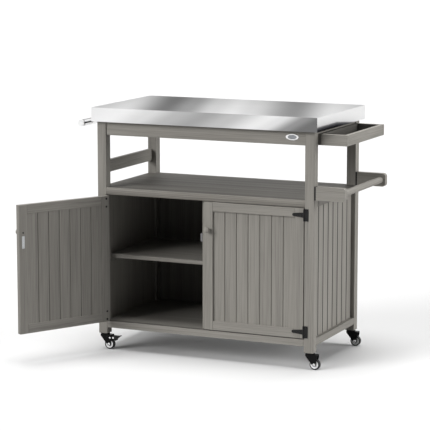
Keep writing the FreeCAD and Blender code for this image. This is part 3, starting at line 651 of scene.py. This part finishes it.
def brushed_steel(name, roughness):
    """The painted reflections of the top run across it, slanted, and fade towards the back. Those
    of the front skirt run up it, slanted, and those of the side skirts along it, rising to the
    back, with painted shade along their feet."""
    material = new_material(name)
    coordinates = add(material, "ShaderNodeTexCoord", {}).outputs
    place = coordinates["Object"]
    axes = add(material, "ShaderNodeSeparateXYZ", {"Vector": place}).outputs
    facing = add(material, "ShaderNodeSeparateXYZ", {"Vector": coordinates["Normal"]}).outputs

    def banded(position, bands):
        low, high = bands[0][0], bands[-1][0]
        stops = [((mark - low) / (high - low), code) for mark, code in bands]
        return ramped(material, ranged(material, position, 0.0, 1.0, low, high), stops, "EASE")

    def turned_to(axis):
        return maths(material, "GREATER_THAN", maths(material, "ABSOLUTE", facing[axis]), 0.7)

    rise = maths(material, "SUBTRACT", axes["Z"], SKIRT_FOOT)
    slanted = maths(material, "MULTIPLY_ADD", rise, FRONT_SLANT, axes["X"])
    front = banded(slanted, FRONT_PAINTED_REFLECTIONS)
    highest = (HALF_DEPTH - SKIRT_LEVEL_TO) * SKIRT_RISE
    beyond = ranged(material, axes["Y"], 0.0, highest, SKIRT_LEVEL_TO, HALF_DEPTH)
    side = banded(maths(material, "ADD", rise, beyond), SIDE_SKIRT_PAINTED_LIGHT)
    skirt = mixed_colours(material, turned_to("X"), front, side)
    slanted = maths(material, "MULTIPLY_ADD", axes["Y"], TOP_SLANT, axes["X"])
    reflection_fading = ranged(material, axes["Y"], TOP_REFLECTION_FRONT, TOP_REFLECTION_BACK, -HALF_DEPTH, HALF_DEPTH)
    top = scaled(material, banded(slanted, TOP_PAINTED_REFLECTIONS), reflection_fading)
    # The painted reflections of the top and the skirts go into the steel's colour.
    painted_reflections = mixed_colours(material, turned_to("Z"), skirt, top)
    scale = (1 / SCRATCH_ALONG, 1 / SCRATCH_ACROSS, 1 / SCRATCH_ACROSS)
    mapped = add(material, "ShaderNodeMapping", {"Vector": place, "Scale": scale}).outputs[0]
    brush = noise(material, mapped, 1.0, 3.0)
    colour = scaled(material, painted_reflections, ranged(material, brush, *SCRATCH_SHADES))
    inputs = {
        "Base Color": colour,
        "Specular Tint": colour,
        "Metallic": 1.0,
        "Roughness": ranged(material, brush, roughness - 0.05, roughness + 0.05),
        "Anisotropic": 0.5,
        "Normal": raised(material, brush, *SCRATCH_RELIEF),
    }
    return principled(material, inputs)


top_steel = brushed_steel("stainless steel, brushed", 0.34)
finish_nodes(fir_sideways, "worktop_board")
finish_nodes(top_steel, "steel_worktop")

# Badge place: a blank oval plate, die cast and chromed, with a raised rim round a plain field
# of grey enamel. It is pinned to the front apron near its right end.
BADGE_PLACE = (0.349, -0.229, 0.8493)
BADGE_LONG = 0.025
BADGE_TALL = 0.0115
badge_profile = [(0, 0), (0.0244, 0), (BADGE_LONG, 0.0007), (0.0247, 0.0015), (0.0237, 0.0018)]
badge_profile += [(0.0222, 0.0016), (0.0212, 0.001), (0.012, 0.0011), (0, 0.0012)]
field_profile = [(0, 0.0008), (0.0172, 0.0008), (0.0172, 0.0014), (0.0166, 0.0015), (0, 0.0015)]
chrome = mottled("chromed zinc casting", "#E4E4E4", "#F4F4F4", 300.0, 1.0, 0.22)
enamel = mottled("grey enamel of the badge's blank field", "#84868A", "#8E9094", 300.0, 0.0, 0.4)
oval = Matrix.Diagonal((1, BADGE_TALL / BADGE_LONG, 1, 1))
stand = moved(*BADGE_PLACE) @ outward @ oval
place_piece("apron_badge_plate", turned(badge_profile, 96), chrome, "cart", stand)
place_piece("apron_badge_field", turned(field_profile, 96), enamel, "cart", stand)

# Spice rack and towel rail: fir boards screwed together as a tray, with painted shade inside, and
# a turned fir dowel between two brackets with rounded ends.
RACK_INNER = 0.183
rack_shaded_inside = (1, RACK_INNER + SKIN, 0.4)
# Painted shade: the tray's back and bottom are painted darker, and the ends' inner faces too.
fir_tray = stained_fir("fir of the rack's tray, with painted shade", 1, shade_and_stain=0.42)
fir_rack_ends = stained_fir("fir of the rack's ends, painted shade inside", 0, inside=rack_shaded_inside)
finish_nodes(fir_endways, "rack_front", "towel_dowel")
finish_nodes(fir_tray, "rack_back", "rack_bottom")
finish_nodes(fir_rack_ends, "rack_ends")
finish_nodes(fir_sideways, "towel_brackets")

# Push bar: a stainless tube of 26 mm, drawn and polished, with a pressed cap and a black sealing
# ring at each end, and two round stays on square plates that are screwed to the left apron.
# Streaks along the tube, light and dark, are painted reflections in its colour.
BAR_X = -0.522
BAR_Z = 0.857
BAR_RADIUS = 0.013
BAR_HALF = 0.202
CAP_LENGTH = 0.008
CAP_ROUND = 0.0015
SEAL_LENGTH = 0.004
SEAL_DEPTH = 0.0006
DRAWN_LINES = (2500, 12, 2500)
# Painted reflections along the tube, light and dark, in its colour.
BAR_PAINTED_REFLECTIONS = (
    (0.0, "#6E6E6E"),
    (0.14, "#E6E6E6"),
    (0.38, "#F4F4F4"),
    (0.5, "#5A5A5A"),
    (0.6, "#4E4E4E"),
    (0.7, "#F0F0F0"),
    (0.88, "#F4F4F4"),
    (1.0, "#5A5A5A"),
)


def polished_steel(name, reflection_streaks, roughness):
    """reflection_streaks are painted reflections: colours from the foot of the tube, at 0, to its
    top, at 1.
    """
    material = new_material(name)
    place = add(material, "ShaderNodeTexCoord", {}).outputs["Object"]
    level = add(material, "ShaderNodeSeparateXYZ", {"Vector": place}).outputs["Z"]
    height = ranged(material, level, 0.0, 1.0, BAR_Z - BAR_RADIUS, BAR_Z + BAR_RADIUS)
    mapped = add(material, "ShaderNodeMapping", {"Vector": place, "Scale": DRAWN_LINES}).outputs[0]
    drawn = noise(material, mapped, 1.0, 2.0)
    inputs = {
        "Base Color": ramped(material, height, reflection_streaks),
        "Metallic": 1.0,
        "Roughness": ranged(material, drawn, roughness - 0.04, roughness + 0.04),
    }
    return principled(material, inputs)


def rod(start, end, radius):
    """A plain round rod along Z."""
    return turned([(0, start), (radius, start), (radius, end), (0, end)], 64)


tube_steel = polished_steel("stainless tube, polished", BAR_PAINTED_REFLECTIONS, 0.16)
cap_steel = mottled("stainless cap, pressed and polished", "#E2E2E2", "#F2F2F2", 250.0, 1.0, 0.2)
black_plastic = black_powder_coat("black moulded nylon", 0.5)
lengthways = moved(BAR_X, 0, BAR_Z) @ inward
cap_start = BAR_HALF - CAP_LENGTH
seal_start = cap_start - SEAL_LENGTH
tube = rod(-seal_start, seal_start, BAR_RADIUS)
bar = place_piece("push_bar_tube", tube, tube_steel, "cart", lengthways)
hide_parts("push_bar")
caps = []
seals = []
for end in (-1, 1):
    cap_profile = [(0, cap_start * end), (BAR_RADIUS, cap_start * end)]
    round_middle = (BAR_RADIUS - CAP_ROUND, (BAR_HALF - CAP_ROUND) * end)
    cap_profile += arc(round_middle, CAP_ROUND, 0, 90 * end, 4)
    cap_profile += [(0, BAR_HALF * end)]
    caps.append((turned(cap_profile, 64), Matrix.Identity(4)))
    seal = rod(seal_start * end, (seal_start + SEAL_LENGTH) * end, BAR_RADIUS - SEAL_DEPTH)
    seals.append((seal, Matrix.Identity(4)))
place_piece("push_bar_caps", gathered(caps), cap_steel, "cart", lengthways)
place_piece("push_bar_seals", gathered(seals), black_plastic, "cart", lengthways)
finish_nodes(cap_steel, "push_bar_stays")
# The black plates where the towel brackets meet the legs are dark sheets set where there is only
# shade: painted shade.
finish_nodes(black_plastic, "towel_plates")
STAY_SPREAD = 0.125
PLATE_OUTSIDE = -0.4365
PLATE_SCREW = (0.0028, 0.0016)
PLATE_CORNERS = ((-0.0105, -0.0105), (-0.0105, 0.0105), (0.0105, -0.0105), (0.0105, 0.0105))
leftward = Matrix.Rotation(math.radians(-90), 4, "Y")
stay_screws = []
for y_side in (-1, 1):
    for y, z in PLATE_CORNERS:
        stand = moved(PLATE_OUTSIDE, STAY_SPREAD * y_side + y, BAR_Z + z) @ leftward
        stay_screws.append((screw_head(*PLATE_SCREW), stand))
place_piece("push_bar_screws", gathered(stay_screws), zinc, "cart")

# Casters: pressed black forks that swivel under a round head, and wheels with a soft black
# tyre on a white moulded hub that runs on a bright axle bolt. The left two have brake
# pedals, with two bright rivets that hold the pedal's spring.
AXLE_X = 0.020
WHEEL_RADIUS = 0.0195
HUB_RADIUS = 0.015
WHEEL_HALF = 0.0085
CASTER_X = 0.4185
CASTER_Y = 0.215
CHEEK_FACE = 0.0113
BOLT_RADIUS = 0.0058
BOLT_TOP = 0.0023
RIVET_TOP = 0.0014
CHEEK_RIVET = (0.024, -CHEEK_FACE, 0.0445)
PEDAL_RIVET = (0.0365, -WHEEL_HALF, 0.0447)
RACE_RADIUS = 0.0176
RACE_BORE = 0.0125
RACE_LEVEL = 0.0592


def mirrored(profile):
    """A wheel's profile, continued on its other side."""
    return profile + [(radius, -height) for radius, height in reversed(profile)]


rubber = mottled("black rubber", "#0A0A0A", "#141414", 600.0, 0.0, 0.6)
hub_plastic = mottled("white moulded nylon", "#F0F0F0", "#FAFAFA", 400.0, 0.0, 0.35)
bright_steel = mottled("bright nickel-plated steel", "#F0F0F0", "#FAFAFA", 500.0, 1.0, 0.25)
fork_coat = black_powder_coat("black powder coated steel of the casters", 0.25, 0.08)
finish_nodes(fork_coat, "caster_heads")
tyre_profile = [(HUB_RADIUS, -WHEEL_HALF + 0.001), (HUB_RADIUS + 0.0006, -WHEEL_HALF)]
tyre_profile += [(WHEEL_RADIUS - 0.0032, -WHEEL_HALF)]
tyre_profile += arc((WHEEL_RADIUS - 0.0028, -WHEEL_HALF + 0.0028), 0.0028, -84, 0, 6)
hub_profile = [(0.0032, -0.0078), (0.0052, -0.0078), (0.0058, -0.0068), (0.0092, -0.0068)]
hub_profile += [(0.0104, -0.0082), (0.0146, -0.0082), (HUB_RADIUS, -0.0076)]
bolt_profile = [(0, 0), (BOLT_RADIUS, 0), (BOLT_RADIUS, BOLT_TOP - 0.0004)]
bolt_profile += [(BOLT_RADIUS * 0.86, BOLT_TOP), (0.0022, BOLT_TOP), (0.0018, BOLT_TOP - 0.0005)]
bolt_profile += [(0, BOLT_TOP - 0.0005)]
rivet_profile = [(0, 0), (0.0036, 0), (0.0036, RIVET_TOP - 0.0006)]
rivet_profile += arc((0.003, RIVET_TOP - 0.0006), 0.0006, 10, 80, 3)
rivet_profile += [(0, RIVET_TOP)]
race_profile = [(RACE_BORE, -0.0012)]
race_profile += arc((RACE_RADIUS - 0.0012, 0), 0.0012, -90, 60, 6)
race_profile += [(RACE_RADIUS - 0.0014, 0.0008), (RACE_BORE, 0.0008)]
races = []
for row, y_side in (("front", -1), ("rear", 1)):
    for column, x_side in (("left", -1), ("right", 1)):
        name = f"caster_{row}_{column}"
        foot = moved(CASTER_X * x_side, CASTER_Y * y_side, 0)
        axle = foot @ moved(AXLE_X, 0, WHEEL_RADIUS)
        stand = axle @ inward
        roller = f"{name}_roller"
        swivel = f"{name}_swivel"
        shape = turned(mirrored(tyre_profile), 72)
        tyre = place_piece(f"{name}_tyre", shape, rubber, roller, stand)
        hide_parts(f"{name}_wheel")
        shape = turned(mirrored(hub_profile), 48)
        place_piece(f"{name}_hub", shape, hub_plastic, roller, stand)
        finish_nodes(fork_coat, f"{name}_fork")
        bolts = []
        for face, way in ((-CHEEK_FACE, outward), (CHEEK_FACE, inward)):
            bolts.append((turned(bolt_profile, 6), axle @ moved(0, face, 0) @ way))
        if x_side < 0:
            bolts.append((turned(rivet_profile, 20), foot @ moved(*CHEEK_RIVET) @ outward))
            brake = f"{name}_brake"
            rivet = turned(rivet_profile, 20)
            stand = foot @ moved(*PEDAL_RIVET) @ outward
            place_piece(f"{name}_pedal_rivet", rivet, bright_steel, brake, stand)
            finish_nodes(black_plastic, f"{name}_pedal")
        place_piece(f"{name}_bolts", gathered(bolts), bright_steel, swivel)
        races.append((turned(race_profile, 40), foot @ moved(0, 0, RACE_LEVEL)))
place_piece("caster_race_covers", gathered(races), fork_coat, "cart")


# Floor and light: a seamless pale sweep. To the camera and to mirror-like metal the room is
# white, and the floor keeps the cart's soft shadow. Four broad lamps stand at the front left,
# at the right, overhead and behind, in a dim room that is lighter overhead.
FLOOR_SEEN = (0.63, 0.63, 0.63, 1)
FLOOR_BOUNCE = (0.3, 0.3, 0.3, 1)
FLOOR_LIFT = 0.02
FLOOR_HALF = 30.0


def pale_floor():
    material = new_material("pale studio floor")
    path = add(material, "ShaderNodeLightPath", {}).outputs
    seen = maths(material, "MAXIMUM", path["Is Camera Ray"], path["Is Glossy Ray"])
    colour = mixed_colours(material, seen, FLOOR_BOUNCE, FLOOR_SEEN)
    matt = add(material, "ShaderNodeBsdfDiffuse", {"Color": colour}).outputs[0]
    lift = maths(material, "MULTIPLY", seen, FLOOR_LIFT)
    inputs = {"Color": (1, 1, 1, 1), "Strength": lift}
    glow = add(material, "ShaderNodeEmission", inputs).outputs[0]
    both = add(material, "ShaderNodeAddShader", {0: matt, 1: glow}).outputs[0]
    add(material, "ShaderNodeOutputMaterial", {"Surface": both})
    return material


sweep = bmesh.new()
bmesh.ops.create_grid(sweep, x_segments=2, y_segments=2, size=FLOOR_HALF)
floor_mesh = bpy.data.meshes.new("studio_floor")
sweep.to_mesh(floor_mesh)
sweep.free()
floor = bpy.data.objects.new("studio_floor", floor_mesh)
bpy.context.scene.collection.objects.link(floor)
floor_mesh.materials.append(pale_floor())

WALLS = 0.02
CEILING = 0.06
world = bpy.data.worlds.new("pale room")
bpy.context.scene.world = world
world.use_nodes = True
world.node_tree.nodes.clear()
way = add(world, "ShaderNodeTexCoord", {}).outputs["Generated"]
height = add(world, "ShaderNodeSeparateXYZ", {"Vector": way}).outputs["Z"]
room = ranged(world, height, WALLS, CEILING)
path = add(world, "ShaderNodeLightPath", {}).outputs
seen = maths(world, "MAXIMUM", path["Is Camera Ray"], path["Is Glossy Ray"])
through = maths(world, "MAXIMUM", seen, path["Is Transmission Ray"])
inputs = {"Color": (1, 1, 1, 1), "Strength": mixed(world, through, room, 1.0)}
sky = add(world, "ShaderNodeBackground", inputs).outputs[0]
add(world, "ShaderNodeOutputWorld", {"Surface": sky})


def soft_sun(name, azimuth, elevation, strength, spread):
    """A broad lamp far away, seen from the cart at that azimuth and elevation in degrees. Metal
    doesn't mirror it."""
    lamp = bpy.data.lights.new(name, "SUN")
    lamp.energy = strength
    lamp.angle = math.radians(spread)
    holder = bpy.data.objects.new(name, lamp)
    holder.visible_glossy = False
    turn, lift = math.radians(azimuth), math.radians(elevation)
    flat = math.cos(lift)
    towards = Vector((math.sin(turn) * flat, -math.cos(turn) * flat, math.sin(lift)))
    holder.rotation_euler = towards.to_track_quat("Z", "Y").to_euler()
    bpy.context.scene.collection.objects.link(holder)


soft_sun("key lamp", -38, 23, 2.95, 35)
soft_sun("right lamp", 101, 12, 2.62, 38)
soft_sun("ceiling lamp", 0, 90, 3.05, 36)
soft_sun("back lamp", 182, 12, 1.8, 60)

# Camera: where the photograph was taken from, at the front right, a little above the worktop.
LENS = 163.97
EYE = (2.95097, -6.71296, 1.67596)
YAW = 24.1384
PITCH = -9.0323
camera_data = bpy.data.cameras.new("camera")
camera_data.sensor_width = 36.0
camera_data.lens = LENS
camera_data.clip_end = 200.0
camera = bpy.data.objects.new("camera", camera_data)
camera.location = EYE
camera.rotation_euler = (math.radians(90 + PITCH), 0, math.radians(YAW))
bpy.context.scene.collection.objects.link(camera)
bpy.context.scene.camera = camera
bpy.context.scene.view_settings.view_transform = "Standard"
